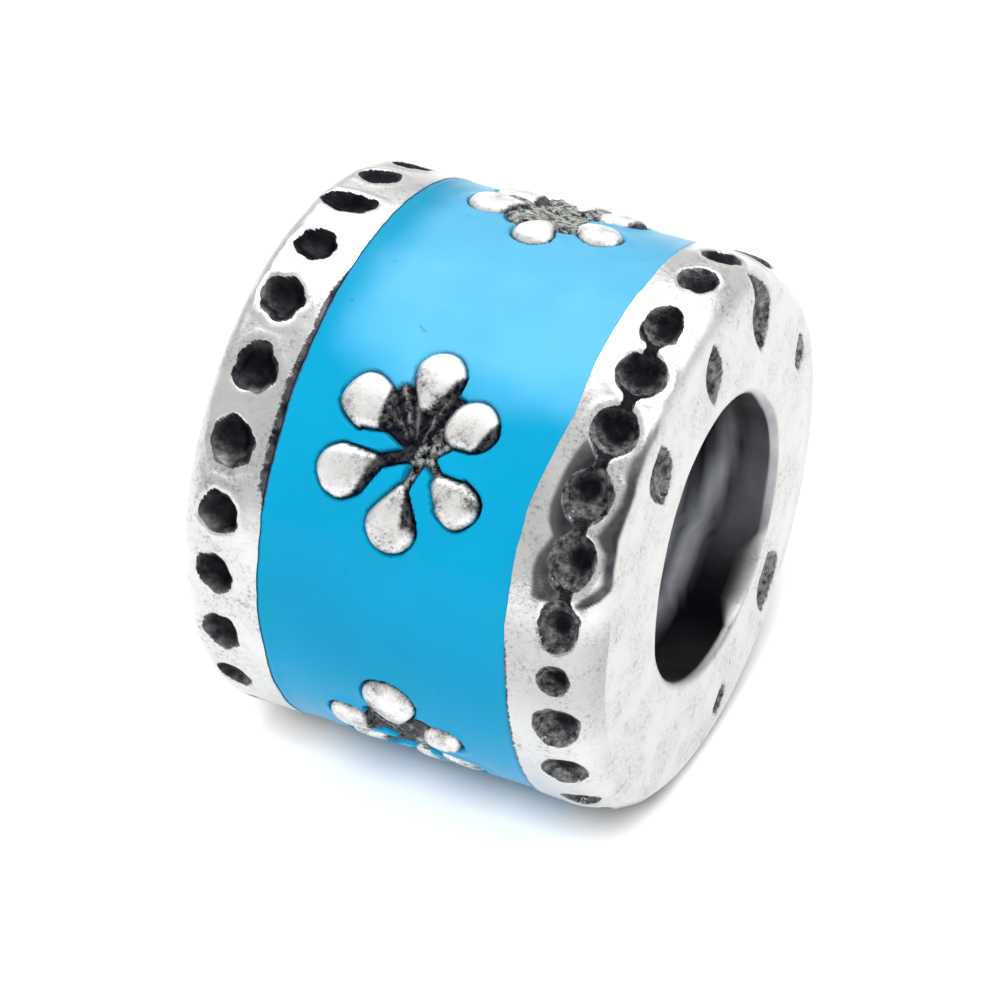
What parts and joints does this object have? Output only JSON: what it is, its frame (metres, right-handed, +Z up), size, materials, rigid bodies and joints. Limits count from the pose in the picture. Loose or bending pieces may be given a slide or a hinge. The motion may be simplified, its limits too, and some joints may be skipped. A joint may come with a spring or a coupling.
{
  "type": "bead charm",
  "caption": "Short barrel bead charm with a wide bore for a bracelet, dimpled silver rims, a blue enamel band and raised silver flowers.",
  "frame": {"origin": "middle of the bracelet bore, half way along the bead", "axes": "+X along the bore, out of the front end face; +Z up as the bead lies on its side"},
  "size_m": [0.0076, 0.0097, 0.0097],
  "materials": {
    "silver": "polished cast silver, oxidised in the recesses",
    "enamel": "glossy fired enamel"
  },
  "bodies": {
    "root": {"silver_body": "silver", "enamel_band": "enamel"}
  },
  "joints": []
}
